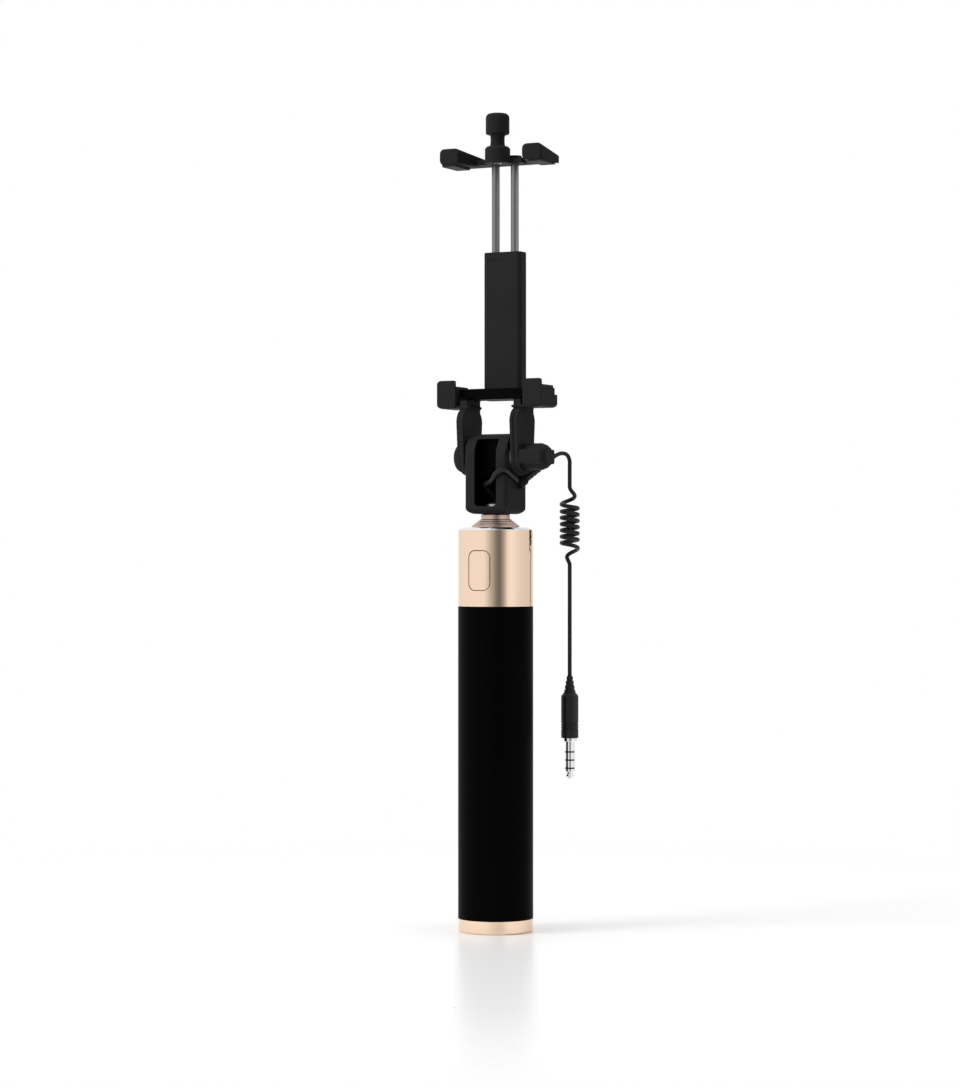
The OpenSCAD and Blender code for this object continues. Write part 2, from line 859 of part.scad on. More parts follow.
module column_screws() color(steel) {
    translate([0, column_y, column_top - cap_h - cap_screw_in])
        cylinder(r = cap_screw_r, h = cap_h + cap_screw_in - cap_sink + eps, $fn = 32);
    translate([0, column_y, column_top - cap_sink])
        cylinder(r = cap_screw_head_r, h = cap_screw_head_t, $fn = 32);
    both_sides()
        translate([column_screw_x, 0, column_screw_z]) {
            along_y(column_front - column_screw_in, column_y + column_d / 2)
                circle(r = cap_screw_r, $fn = 32);
            along_y(column_y + column_d / 2, column_y + column_d / 2 + cap_screw_head_t)
                circle(r = column_screw_head_r, $fn = 32);
        }
}

spring_z = foot_z + foot_h;
spring_h = column_top - cap_h - spring_z;
spring_r = (rod_r + 0.15 + chamber_r) / 2;
spring_turns = round((spring_h - jaw_up) / spring_pitch);

module jaw_springs() color(steel)
    both_sides()
        translate([rod_x, column_y, spring_z + spring_wire_r])
            sweep(
                [
                    for (i = [0 : 10 * spring_turns])
                        [
                            spring_r * cos(36 * i), spring_r * sin(36 * i),
                            i * (spring_h - 2 * spring_wire_r) / (10 * spring_turns)
                        ]
                ],
                spring_wire_r, 5
            );

module thumb_nut() color(head_black)
    difference() {
        union() {
            translate([nut_in, 0, pivot_z])
                rotate([0, 90, 0])
                    rotate_extrude($fn = 64)
                        polygon([
                            [0, 0], [nut_hub_r, 0], [nut_hub_r, nut_reach - 3], [nut_hub_r - 0.7, nut_reach - 1.2],
                            [nut_hub_r - 1.7, nut_reach], [0, nut_reach]
                        ]);
            along_x(nut_in, nut_in + nut_reach - 1)
                translate([0, pivot_z])
                    rounded_rect(2 * nut_bar_half, nut_bar_h, 1);
        }
        along_x(nut_in - 1, nut_in + insert_len)
            translate([0, pivot_z])
                circle(r = insert_r, $fn = 6);
        along_x(nut_in - 1, nut_in + nut_reach - 1.2)
            translate([0, pivot_z])
                circle(r = bolt_r + 0.3, $fn = 48);
    }

module nut_insert() color(brass)
    along_x(nut_in, nut_in + insert_len)
        translate([0, pivot_z])
            difference() {
                circle(r = insert_r, $fn = 6);
                circle(r = bolt_r + turn_gap, $fn = 64);
            }

// ---- Upper jaw ----
claw_in = 12.9;
claw_out = 20.8;
claw_back_in = 8.5;
claw_corner_r = 1.8;
claw_edge = 0.4;

// One claw: a round-cornered front face, tapering to a low bar behind the phone.
module claw()
    hull() {
        for (x = [claw_in + claw_corner_r, claw_out - claw_corner_r],
            z = [claw_z + claw_corner_r, claw_z + claw_h - claw_corner_r])
            translate([x, claw_front, z])
                rotate([-90, 0, 0]) {
                    cylinder(r = claw_corner_r - claw_edge, h = 2, $fn = 48);
                    translate([0, 0, claw_edge])
                        cylinder(r = claw_corner_r, h = 1, $fn = 48);
                }
        for (x = [claw_back_in + 0.5, claw_out - 0.5])
            translate([x, claw_back - 0.5, claw_z])
                cylinder(r = 0.5, h = claw_back_h, $fn = 24);
        slab(claw_in + claw_corner_r, claw_out, claw_front + 2.5, claw_back - 2, claw_z, claw_z + 0.2);
    }

module upper_jaw() color(head_black)
    difference() {
        union() {
            both_sides()
                claw();
            slab(-claw_back_in - 1, claw_back_in + 1, 2.6, claw_back, claw_z, claw_z + bridge_t);
            translate([0, knob_y, claw_z]) {
                cylinder(r = boss_r, h = boss_top - claw_z - boss_edge, $fn = 64);
                cylinder(r = boss_r - boss_edge, h = boss_top - claw_z, $fn = 64);
                translate([0, 0, boss_top - claw_z - boss_edge])
                    cylinder(r1 = boss_r, r2 = boss_r - boss_edge, h = boss_edge, $fn = 64);
            }
            both_sides()
                translate([rod_x, column_y, claw_z])
                    cylinder(r = rod_r + 1.1, h = bridge_t + 1.4, $fn = 48);
        }
        both_sides()
            translate([rod_x, column_y, claw_z - 1])
                cylinder(r = rod_r, h = bridge_t + 1.6, $fn = 48);
        translate([0, knob_y, claw_z - 1])
            cylinder(r = 1.5, h = big, $fn = 48);
    }

module upper_pads() color(rubber_grey)
    both_sides()
        slab(claw_in + claw_corner_r, claw_out - pad_side, claw_front + 1.2, claw_back - 2.4, upper_z, claw_z);

module guide_rods() color(chrome)
    both_sides()
        translate([rod_x, column_y, 0]) {
            translate([0, 0, foot_z])
                cylinder(r = rod_r, h = claw_z + bridge_t + 0.6 - foot_z, $fn = 48);
            translate([0, 0, foot_z])
                cylinder(r = foot_r, h = foot_h, $fn = 48);
        }

module pull_knob() color(head_black)
    translate([0, knob_y, boss_top])
        difference() {
            union() {
                cylinder(r = knob_neck_r, h = knob_neck_h + 1, $fn = 64);
                translate([0, 0, knob_neck_h])
                    rotate_extrude($fn = 64)
                        union() {
                            square([knob_r - knob_round, knob_h]);
                            translate([0, 0.8])
                                square([knob_r, knob_h - knob_round - 0.8]);
                            translate([knob_r - knob_round, knob_h - knob_round])
                                circle(r = knob_round, $fn = 48);
                            polygon([[0, 0], [knob_r - 0.8, 0], [knob_r, 0.8], [0, 0.8]]);
                        }
            }
            translate([0, 0, -1])
                cylinder(r = 1.5, h = knob_neck_h + 3, $fn = 48);
        }

module knob_screw() color(steel)
    translate([0, knob_y, claw_z])
        cylinder(r = 1.5, h = boss_top - claw_z + knob_neck_h + 1.8, $fn = 48);

base_cap();
bottom_plug();
cap_screw();
handle_tube();
grip_sleeve();
collar();
trim_ring();
guide_bush();
switch_carrier();
switch_board();
tact_switch();
handle_lead();
shutter_button();
switch_stem();
tube_1();
tube_2();
tube_3();
tube_4();
tube_5();
tube_bush_1();
tube_bush_2();
tube_bush_3();
tube_bush_4();
tube_bush_5();
neck_plug();
swivel_clip();
coiled_inner_lead();
hinge_block();
friction_washers();
lead_wire();
lead_socket();
strain_relief();
cord_lead();
cord_curl();
cord_tail();
plug_relief();
plug_body();
plug_ring();
plug_pin();
pivot_bolt();
pivot_cap();
lower_jaw();
lower_pads();
guide_column();
column_cap();
column_screws();
jaw_springs();
thumb_nut();
nut_insert();
upper_jaw();
upper_pads();
guide_rods();
pull_knob();
knob_screw();
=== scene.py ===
import json
import math

import bmesh
import bpy
from mathutils import Matrix, Vector


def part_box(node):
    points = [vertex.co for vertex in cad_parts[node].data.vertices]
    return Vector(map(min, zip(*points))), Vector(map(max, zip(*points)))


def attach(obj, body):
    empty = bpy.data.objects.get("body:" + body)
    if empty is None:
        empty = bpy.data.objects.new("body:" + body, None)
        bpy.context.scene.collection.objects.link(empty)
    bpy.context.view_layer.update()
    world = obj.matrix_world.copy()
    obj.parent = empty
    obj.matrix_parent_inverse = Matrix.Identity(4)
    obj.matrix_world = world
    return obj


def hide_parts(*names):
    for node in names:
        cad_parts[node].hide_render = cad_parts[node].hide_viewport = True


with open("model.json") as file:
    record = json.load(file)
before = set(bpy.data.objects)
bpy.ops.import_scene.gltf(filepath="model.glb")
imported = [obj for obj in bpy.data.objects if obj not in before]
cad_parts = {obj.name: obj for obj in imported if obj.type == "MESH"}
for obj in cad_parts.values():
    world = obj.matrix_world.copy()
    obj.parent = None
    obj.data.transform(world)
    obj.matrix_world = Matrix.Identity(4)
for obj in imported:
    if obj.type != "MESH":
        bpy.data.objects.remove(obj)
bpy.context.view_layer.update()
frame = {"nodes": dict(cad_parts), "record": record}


def lowest(node):
    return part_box(node)[0]


def highest(node):
    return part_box(node)[1]


# ---------------------------------------------------------------------------------------
# Camera. A long lens a little over a metre from the stick, to its front right, with the
# eye level just under the collar's button.
CAMERA_AZIMUTH = math.radians(27)
CAMERA_DISTANCE = 1.095
EYE_HEIGHT = 0.1333
LENS = 99.3
AIM_LEFT = 0.0057
AIM_UP = 0.0077

away = Vector((math.sin(CAMERA_AZIMUTH), -math.cos(CAMERA_AZIMUTH), 0))
sideways = Vector((math.cos(CAMERA_AZIMUTH), math.sin(CAMERA_AZIMUTH), 0))
eye = away * CAMERA_DISTANCE + Vector((0, 0, EYE_HEIGHT))
aim = Vector((0, 0, EYE_HEIGHT + AIM_UP)) - sideways * AIM_LEFT
camera_data = bpy.data.cameras.new("camera")
camera_data.lens = LENS
camera_data.sensor_width = 36
camera_data.clip_start = 0.05
camera = bpy.data.objects.new("camera", camera_data)
camera.location = eye
camera.rotation_euler = (aim - eye).to_track_quat("-Z", "Y").to_euler()
bpy.context.scene.collection.objects.link(camera)
bpy.context.scene.camera = camera


# ---------------------------------------------------------------------------------------
# The free cord. Thin round lead in black PVC, heat-set into a small curl so that it
# stretches; it hangs from the strain relief and ends in the jack plug.
class Value:
    """A shader socket on which ordinary arithmetic adds Math nodes."""

    def __init__(self, nodes, socket):
        self.nodes = nodes
        self.socket = socket

    def math(self, operation, other):
        return self.nodes.math(operation, self, other)

    def __add__(self, other):
        return self.math("ADD", other)

    def __radd__(self, other):
        return self.nodes.math("ADD", other, self)

    def __sub__(self, other):
        return self.math("SUBTRACT", other)

    def __rsub__(self, other):
        return self.nodes.math("SUBTRACT", other, self)

    def __mul__(self, other):
        return self.math("MULTIPLY", other)

    def __rmul__(self, other):
        return self.nodes.math("MULTIPLY", other, self)

    def __truediv__(self, other):
        return self.math("DIVIDE", other)


class Nodes:
    """The nodes of one material, or of the room around the stick."""

    def __init__(self, tree):
        self.tree = tree

    def add(self, kind, settings, inputs, output=0):
        """Any node: its settings first, then the values or links of its sockets."""
        node = self.tree.nodes.new(kind)
        for key, value in settings.items():
            if key == "stops":
                self.stops(node.color_ramp, value)
            else:
                setattr(node, key, value)
        for key, value in inputs.items():
            self.feed(node.inputs[key], value)
        return Value(self, node.outputs[output])

    def feed(self, socket, value):
        """A link from another node, a colour, or a plain number."""
        if isinstance(value, Value):
            self.tree.links.new(value.socket, socket)
        elif isinstance(value, tuple) and socket.type == "RGBA":
            socket.default_value = (*value, 1)
        else:
            socket.default_value = value

    def stops(self, ramp, stops):
        """The ramp's stops, each a position and a grey."""
        while len(ramp.elements) < len(stops):
            ramp.elements.new(0.5)
        for element, (position, grey) in zip(ramp.elements, stops):
            element.position = position
            element.color = (grey, grey, grey, 1)

    def math(self, operation, first, second):
        return self.add("ShaderNodeMath", {"operation": operation}, {0: first, 1: second})

    def mix(self, mask, first, second):
        return self.add("ShaderNodeMix", {"data_type": "RGBA"}, {0: mask, 6: first, 7: second}, 2)

    def parts(self, vector):
        """The vector's x, y and z."""
        split = self.add("ShaderNodeSeparateXYZ", {}, {0: vector})
        return [Value(self, socket) for socket in split.socket.node.outputs]


class Finish(Nodes):
    """One material: a Principled shader, and the nodes that its maker adds."""

    def __init__(self, name, **constants):
        self.material = bpy.data.materials.new(name)
        self.material.use_nodes = True
        super().__init__(self.material.node_tree)
        self.shader = self.tree.nodes["Principled BSDF"]
        for key, value in constants.items():
            self.give(key.replace("_", " ").title().replace("Ior", "IOR"), value)
        self.place = self.add("ShaderNodeTexCoord", {}, {}, "Object")

    def give(self, name, value):
        """Sets or links one of the shader's own sockets."""
        self.feed(self.shader.inputs[name], value)

    def noise(self, scale, detail=2.0, where=None):
        inputs = {"Vector": where or self.place, "Scale": scale, "Detail": detail}
        return self.add("ShaderNodeTexNoise", {}, inputs)

    def stretch(self, x, y, z):
        """The object's own coordinates, with each axis scaled."""
        settings = {"operation": "MULTIPLY"}
        return self.add("ShaderNodeVectorMath", settings, {0: self.place, 1: (x, y, z)})

    def bump(self, height, distance, strength=1.0):
        inputs = {"Height": height, "Distance": distance, "Strength": strength}
        self.give("Normal", self.add("ShaderNodeBump", {}, inputs))

    def wear(self, *objects):
        for thing in objects:
            thing.data.materials.clear()
            thing.data.materials.append(self.material)


def cord_finish():
    """Black PVC with the faint drag marks and mottling of an extruded jacket."""
    finish = Finish("cord_pvc", specular_ior_level=0.3)
    mottle = finish.noise(900, 3)
    fine = finish.noise(5200, 2)
    finish.give("Base Color", finish.mix(mottle, (0.006, 0.006, 0.0065), (0.013, 0.013, 0.0135)))
    finish.give("Roughness", 0.36 + 0.16 * mottle)
    finish.bump(fine, 0.00002, 0.5)
    return finish


MM = 0.001
BLOCK_FOOT = lowest("hinge_block")[2]
CORD_D = 1.5 * MM
# Points in millimetres; their heights count from the foot of the hinge block.
CORD_LEAD = (
    (16, 14.6, 20.7), (17, 16.3, 21.9), (18.2, 18.2, 22.5), (19.4, 19.8, 21.9),
    (20, 20.7, 19.9), (20, 20.8, 17.5), (20, 20.8, 14.3), (20, 20.8, 11.1),
)
CORD_TAIL = (
    (20, 20.8, -18.9), (20, 20.8, -23.9), (20, 20.8, -29.9), (20, 20.8, -35.9),
    (20, 20.8, -41.9), (20, 20.8, -47.9), (20, 20.8, -53.9), (20, 20.8, -58.9),
)
CURL_RADIUS = 3.0
CURL_TURNS = 8
CURL_STEPS = 36
CURL_EASE = 0.625
CURL_OPEN = 4


def smooth(points, steps):
    """Points along the Catmull-Rom curve through the given ones."""
    points = [Vector(p) for p in points]
    path = []
    for i in range(len(points) - 1):
        a, b = points[max(i - 1, 0)], points[i]
        c, d = points[i + 1], points[min(i + 2, len(points) - 1)]
        for k in range(steps):
            u = k / steps
            turn = (2 * a - 5 * b + 4 * c - d) * u * u + (3 * b - a - 3 * c + d) * u ** 3
            path.append(0.5 * (2 * b + (c - a) * u + turn))
    return path + [points[-1]]


def eased(share):
    share = min(share, 1)
    return share * share * (3 - 2 * share)


def curl(start, end):
    """The helix between two points on one upright line: its end turns open out to that line."""
    count = CURL_TURNS * CURL_STEPS
    edges = [min(i, count - i) / CURL_STEPS for i in range(count + 1)]
    falls = [1 + CURL_OPEN * (1 - eased(edge / (2 * CURL_EASE))) for edge in edges]
    whole = sum(falls) - falls[0]
    path, fallen = [], 0
    for i in range(1, count):
        fallen += (falls[i - 1] + falls[i]) / 2
        radius = CURL_RADIUS * eased(edges[i] / CURL_EASE)
        angle = 2 * math.pi * i / CURL_STEPS - math.pi / 2
        place = Vector(start).lerp(Vector(end), fallen / whole)
        path.append(place + radius * Vector((math.cos(angle), math.sin(angle), 0)))
    return path


def from_block(place):
    """A route's point in metres, at its place in the model."""
    return Vector(place) * MM + Vector((0, 0, BLOCK_FOOT))


def tube_along(name, path, diameter, sides=6):
    """A round wire along a path given in millimetres."""
    data = bpy.data.curves.new(name, "CURVE")
    data.dimensions = "3D"
    data.bevel_depth = diameter / 2
    data.bevel_resolution = sides
    data.use_fill_caps = True
    spline = data.splines.new("POLY")
    spline.points.add(len(path) - 1)
    for point, place in zip(spline.points, path):
        point.co = (*from_block(place), 1)
    spline.use_smooth = True
    thing = bpy.data.objects.new(name, data)
    bpy.context.scene.collection.objects.link(thing)
    return thing


cord_black = cord_finish()
cord_path = smooth(CORD_LEAD, 6) + curl(CORD_LEAD[-1], CORD_TAIL[0]) + smooth(CORD_TAIL, 2)
curly_cord = tube_along("curly_cord", cord_path, CORD_D)
cord_black.wear(curly_cord)
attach(curly_cord, "head")
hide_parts("cord_lead", "cord_curl", "cord_tail")


# ---------------------------------------------------------------------------------------
# Jack plug. Moulded black body with a ribbed relief, a silver collar, and a turned
# four-pole pin with black rings between its contacts.
def arc(centre_r, centre_z, radius, start, end, steps=6):
    """Points of a round edge on a lathe profile, between two angles in degrees."""
    points = []
    for k in range(steps + 1):
        angle = math.radians(start + (end - start) * k / steps)
        points.append((centre_r + radius * math.cos(angle), centre_z + radius * math.sin(angle)))
    return points


def shade(mesh, angle=32):
    mesh.shade_smooth()
    mesh.set_sharp_from_angle(angle=math.radians(angle))


def lathe(name, profile, centre=(0, 0, 0), axis=(0, 0, 1), segments=128):
    """A turned piece: a closed profile of (radius, height), revolved about its axis."""
    work = bmesh.new()
    rings = []
    for radius, height in profile:
        if radius < 1e-7:
            rings.append([work.verts.new((0, 0, height))])
            continue
        ring = []
        for k in range(segments):
            angle = 2 * math.pi * k / segments
            ring.append(work.verts.new((radius * math.cos(angle), radius * math.sin(angle), height)))
        rings.append(ring)
    closed = profile[0][0] > 1e-7 and profile[-1][0] > 1e-7
    pairs = list(zip(rings, rings[1:])) + ([(rings[-1], rings[0])] if closed else [])
    for low, high in pairs:
        for k in range(segments):
            corners = [low[k % len(low)], low[(k + 1) % len(low)],
                       high[(k + 1) % len(high)], high[k % len(high)]]
            corners = list(dict.fromkeys(corners))
            if len(corners) > 2:
                work.faces.new(corners)
    bmesh.ops.recalc_face_normals(work, faces=work.faces)
    mesh = bpy.data.meshes.new(name)
    work.to_mesh(mesh)
    work.free()
    turn = Vector((0, 0, 1)).rotation_difference(Vector(axis)).to_matrix().to_4x4()
    mesh.transform(Matrix.Translation(Vector(centre)) @ turn)
    shade(mesh)
    thing = bpy.data.objects.new(name, mesh)
    bpy.context.scene.collection.objects.link(thing)
    return thing


def chrome_finish():
    """Polished plate with the hairline swirl that wiping leaves."""
    finish = Finish("bright_chrome", metallic=1.0, roughness=0.12)
    hair = finish.noise(1400, 4, finish.stretch(1, 1, 9))
    finish.give("Base Color", finish.mix(hair, (0.90, 0.90, 0.91), (0.97, 0.97, 0.98)))
    finish.give("Roughness", 0.07 + 0.14 * hair)
    finish.bump(hair, 0.000004, 0.4)
    return finish


def plug_axis(node):
    low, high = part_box(node)
    return ((low[0] + high[0]) / 2, (low[1] + high[1]) / 2)


BODY_EDGE = 0.4 * MM
BODY_SHOULDER = 1.2 * MM
BODY_GROOVES = (3.2 * MM, 4.2 * MM, 5.2 * MM)
GROOVE_DEPTH = 0.16 * MM
RELIEF_RIBS = 4
RELIEF_TAPER = 0.9 * MM
RIB_DEPTH = 0.35 * MM
RING_EDGE = 0.15 * MM
BAND_PLACES = (3.9 * MM, 6.9 * MM, 9.9 * MM)
BAND_WIDTH = 0.55 * MM
BAND_PROUD = 0.015 * MM


def turned_plug():
    x, y = plug_axis("plug_body")
    low, top = lowest("plug_body")[2], highest("plug_body")[2]
    radius = (highest("plug_body")[0] - lowest("plug_body")[0]) / 2
    neck = radius - 0.7 * MM
    profile = [(0, low)] + arc(radius - BODY_EDGE, low + BODY_EDGE, BODY_EDGE, -90, 0)
    for up in BODY_GROOVES:
        z = low + up
        profile += [(radius, z), (radius - GROOVE_DEPTH, z + 0.12 * MM)]
        profile += [(radius - GROOVE_DEPTH, z + 0.38 * MM), (radius, z + 0.5 * MM)]
    profile += arc(radius - BODY_SHOULDER, top - 1.6 * MM, BODY_SHOULDER, 0, 60)
    profile += [(neck - 0.1 * MM, top - 0.1 * MM), (neck - 0.4 * MM, top), (0, top)]
    body = lathe("jack_body", profile, (x, y, 0), segments=64)
    cord_black.wear(body)

    foot, tip = lowest("plug_relief")[2], highest("plug_relief")[2]
    wide = (highest("plug_relief")[0] - lowest("plug_relief")[0]) / 2
    profile = [(0, foot)]
    pitch = (tip - foot) / RELIEF_RIBS
    for k in range(RELIEF_RIBS):
        rim = wide - RELIEF_TAPER * k / (RELIEF_RIBS - 1)
        z = foot + k * pitch
        profile += [(rim, z + 0.01 * MM), (rim, z + 0.55 * pitch)]
        profile += [(rim - RIB_DEPTH, z + 0.68 * pitch), (rim - RIB_DEPTH, z + 0.97 * pitch)]
    profile += [(0, tip)]
    relief = lathe("jack_relief", profile, (x, y, 0), segments=48)
    cord_black.wear(relief)

    low, high = lowest("plug_ring")[2], highest("plug_ring")[2]
    radius = (highest("plug_ring")[0] - lowest("plug_ring")[0]) / 2
    profile = [(0, low)] + arc(radius - RING_EDGE, low + RING_EDGE, RING_EDGE, -90, 0)
    profile += [(radius, high), (0, high)]
    ring = lathe("jack_ring", profile, (x, y, 0), segments=64)
    bright.wear(ring)

    low, high = lowest("plug_pin")[2], highest("plug_pin")[2]
    radius = (highest("plug_pin")[0] - lowest("plug_pin")[0]) / 2
    profile = [(0, low), (0.5 * MM, low + 0.02 * MM), (0.95 * MM, low + 0.3 * MM)]
    profile += [(radius - 0.05 * MM, low + 1.2 * MM), (radius - 0.1 * MM, low + 1.5 * MM)]
    profile += [(radius - 0.6 * MM, low + 2.2 * MM), (radius - 0.6 * MM, low + 2.5 * MM)]
    profile += [(radius, low + 3 * MM), (radius, high), (0, high)]
    pin = lathe("jack_pin", profile, (x, y, 0), segments=64)
    bright.wear(pin)
    bands = []
    for k, up in enumerate(BAND_PLACES):
        z, inner, outer = low + up, radius - 0.3 * MM, radius + BAND_PROUD
        profile = [(inner, z), (outer, z), (outer, z + BAND_WIDTH), (inner, z + BAND_WIDTH)]
        band = lathe(f"jack_band_{k + 1}", profile, (x, y, 0), segments=64)
        cord_black.wear(band)
        bands.append(band)
    return body, relief, ring, pin, bands


bright = chrome_finish()
jack_body, jack_relief, jack_ring, jack_pin, jack_bands = turned_plug()
plug_stand_ins = (
    (jack_body, "plug_body", "cord_plastic"), (jack_relief, "plug_relief", "cord_plastic"),
    (jack_ring, "plug_ring", "bright_chrome"), (jack_pin, "plug_pin", "bright_chrome"),
)
for piece, node, slot in plug_stand_ins:
    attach(piece, "head")
    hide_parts(node)
for band in jack_bands:
    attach(band, "head")


# ---------------------------------------------------------------------------------------
# Floor and light. A white sweep of board, one large soft source on the left, one on the
# right, and a pale room with a darker stretch where the camera stands.
ROOM_DIM = 0.10
ROOM_TOP = 1.4
ROOM_ROUND = (
    (0.0, 1.0), (0.04, 1.0), (0.10, 0.86), (0.18, 0.93), (0.40, 0.94), (0.435, 0.72),
    (0.47, 0.48), (0.503, 0.24), (0.536, 0.15), (0.571, 0.42), (0.605, 0.92), (0.64, 1.0),
    (0.68, 0.90), (0.72, 0.82), (0.83, 0.75), (0.915, 0.7), (0.96, 1.0), (1.0, 1.0),
)


def studio():
    """What polished metal reflects all round the stick, and the dim room that lights the rest."""
    world = bpy.data.worlds.new("studio")
    world.use_nodes = True
    bpy.context.scene.world = world
    room = Nodes(world.node_tree)

    def glow(colour):
        return room.add("ShaderNodeBackground", {}, {"Color": colour})

    def ray(name):
        return room.add("ShaderNodeLightPath", {}, {}, name)

    x, y, z = room.parts(room.add("ShaderNodeTexCoord", {}, {}, "Generated"))
    # The bearing from the stick: 0.5 towards the camera, more to its right.
    along = x * away.x + y * away.y
    across = x * sideways.x + y * sideways.y
    bearing = across.math("ARCTAN2", along) / (2 * math.pi) + 0.5
    around = room.add("ShaderNodeValToRGB", {"stops": ROOM_ROUND}, {0: bearing})
    overhead = room.add("ShaderNodeMapRange", {}, {"Value": z, "From Min": 0.4, "From Max": 0.85})
    mirrored = glow(room.mix(overhead, around, (0.9, 0.9, 0.9)))
    soft = glow(overhead * (ROOM_TOP - ROOM_DIM) + ROOM_DIM)
    unseen = {0: ray("Is Diffuse Ray"), 1: mirrored, 2: soft}
    seen = {0: ray("Is Camera Ray"), 1: room.add("ShaderNodeMixShader", {}, unseen), 2: glow((1, 1, 1))}
    room.feed(
        world.node_tree.nodes["World Output"].inputs["Surface"],
        room.add("ShaderNodeMixShader", {}, seen),
    )


def lamp(name, kind, azimuth, height, distance, power, **settings):
    """A lamp at that bearing from the camera's side, aimed at the middle of the stick."""
    data = bpy.data.lights.new(name, kind)
    data.energy = power
    for key, value in settings.items():
        setattr(data, key, value)
    thing = bpy.data.objects.new(name, data)
    bearing = CAMERA_AZIMUTH + math.radians(azimuth)
    thing.location = (distance * math.sin(bearing), -distance * math.cos(bearing), height)
    look = Vector((0, 0, 0.16)) - thing.location
    thing.rotation_euler = look.to_track_quat("-Z", "Y").to_euler()
    thing.visible_glossy = False
    bpy.context.scene.collection.objects.link(thing)
    return thing


FLOOR_RADIUS = 0.36
FLOOR_SOLID = 0.162


def floor_board():
    """Lacquered white board, fading out at its edge: it takes a soft shadow and a dim reflection."""
    work = bmesh.new()
    bmesh.ops.create_circle(work, cap_ends=True, radius=FLOOR_RADIUS, segments=128)
    mesh = bpy.data.meshes.new("floor")
    work.to_mesh(mesh)
    work.free()
    floor = bpy.data.objects.new("floor", mesh)
    bpy.context.scene.collection.objects.link(floor)
    finish = Finish("white_board", base_color=(0.94, 0.94, 0.94), specular_ior_level=0.3)
    grain = finish.noise(300, 2)
    finish.give("Roughness", 0.26 + 0.06 * grain)
    reach = finish.add("ShaderNodeVectorMath", {"operation": "LENGTH"}, {0: finish.place}, 1)
    edge = {"Value": reach, "From Min": FLOOR_SOLID, "From Max": FLOOR_RADIUS}
    gone = finish.add("ShaderNodeMapRange", {"interpolation_type": "SMOOTHSTEP"}, edge)
    finish.give("Alpha", 1 - gone)
    finish.wear(floor)


studio()
floor_board()
lamp("key_light", "AREA", -68, 0.5, 1.2, 11.0, size=0.6)
lamp("fill_light", "AREA", 85, 0.5, 1.5, 1.5, size=0.8)
bpy.context.scene.view_settings.view_transform = "Standard"


# ---------------------------------------------------------------------------------------
# Base cap, collar and button. Aluminium turned on a lathe, anodised a pale rose gold; the
# cutter's rings run round it, and the edges are broken by hand.
def gold_finish():
    finish = Finish("rose_gold", metallic=1.0)
    rings = finish.noise(160, 5, finish.stretch(1, 1, 40))
    drift = finish.noise(45, 2)
    tone = finish.mix(drift, (0.955, 0.715, 0.54), (0.975, 0.74, 0.565))
    finish.give("Base Color", finish.mix(0.22 * rings, tone, (0.88, 0.65, 0.495)))
    finish.give("Roughness", 0.10 + 0.06 * rings)
    finish.bump(rings, 0.000004, 0.3)
    return finish


def softened(node, name, grain=0.16 * MM, rounds=6, keep=0.3):
    """The node's shape as the mould or the polisher leaves it: every edge eased over."""
    work = bmesh.new()
    work.from_mesh(frame["nodes"][node].data)
    bmesh.ops.remove_doubles(work, verts=work.verts, dist=0.002 * MM)
    mesh = bpy.data.meshes.new(name)
    work.to_mesh(mesh)
    work.free()
    thing = bpy.data.objects.new(name, mesh)
    bpy.context.scene.collection.objects.link(thing)
    skin = thing.modifiers.new("skin", "REMESH")
    skin.mode = "VOXEL"
    skin.voxel_size = grain
    ease = thing.modifiers.new("ease", "SMOOTH")
    ease.factor = 0.5
    ease.iterations = rounds
    thin = thing.modifiers.new("thin", "DECIMATE")
    thin.ratio = keep
    level = thing.modifiers.new("level", "WEIGHTED_NORMAL")
    level.weight = 100
    depsgraph = bpy.context.evaluated_depsgraph_get()
    finished = bpy.data.meshes.new_from_object(thing.evaluated_get(depsgraph))
    thing.modifiers.clear()
    thing.data = finished
    finished.shade_smooth()
    return thing


gold = gold_finish()
button_piece = softened("shutter_button", "dished_button", 0.1 * MM, 5)
gold.wear(button_piece)
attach(button_piece, "button")
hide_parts("shutter_button")


# ---------------------------------------------------------------------------------------
# Grip. Rubber-coated sleeve in deep black: a dead-flat lacquer with a very fine grain,
# which shows the room only as two faint upright bands.
def grip_finish():
    finish = Finish("soft_touch_black", specular_ior_level=0.016)
    grain = finish.noise(7000, 2)
    cloud = finish.noise(60, 3)
    finish.give("Base Color", finish.mix(cloud, (0.0008, 0.0008, 0.00085), (0.0018, 0.0018, 0.0019)))
    finish.give("Roughness", 0.34 + 0.14 * grain)
    finish.bump(grain, 0.000012, 0.6)
    return finish


GRIP_WALL = 1.1 * MM
GRIP_EDGE = 0.22 * MM


def grip_piece():
    low, high = lowest("grip_sleeve")[2], highest("grip_sleeve")[2]
    outer = highest("grip_sleeve")[0]
    inner = outer - GRIP_WALL
    profile = [(inner, low)] + arc(outer - GRIP_EDGE, low + GRIP_EDGE, GRIP_EDGE, -90, 0)
    profile += arc(outer - GRIP_EDGE, high - GRIP_EDGE, GRIP_EDGE, 0, 90) + [(inner, high)]
    return lathe("coated_grip", profile, segments=192)


soft_black = grip_finish()
grip = grip_piece()
soft_black.wear(grip)
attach(grip, "handle")
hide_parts("grip_sleeve")


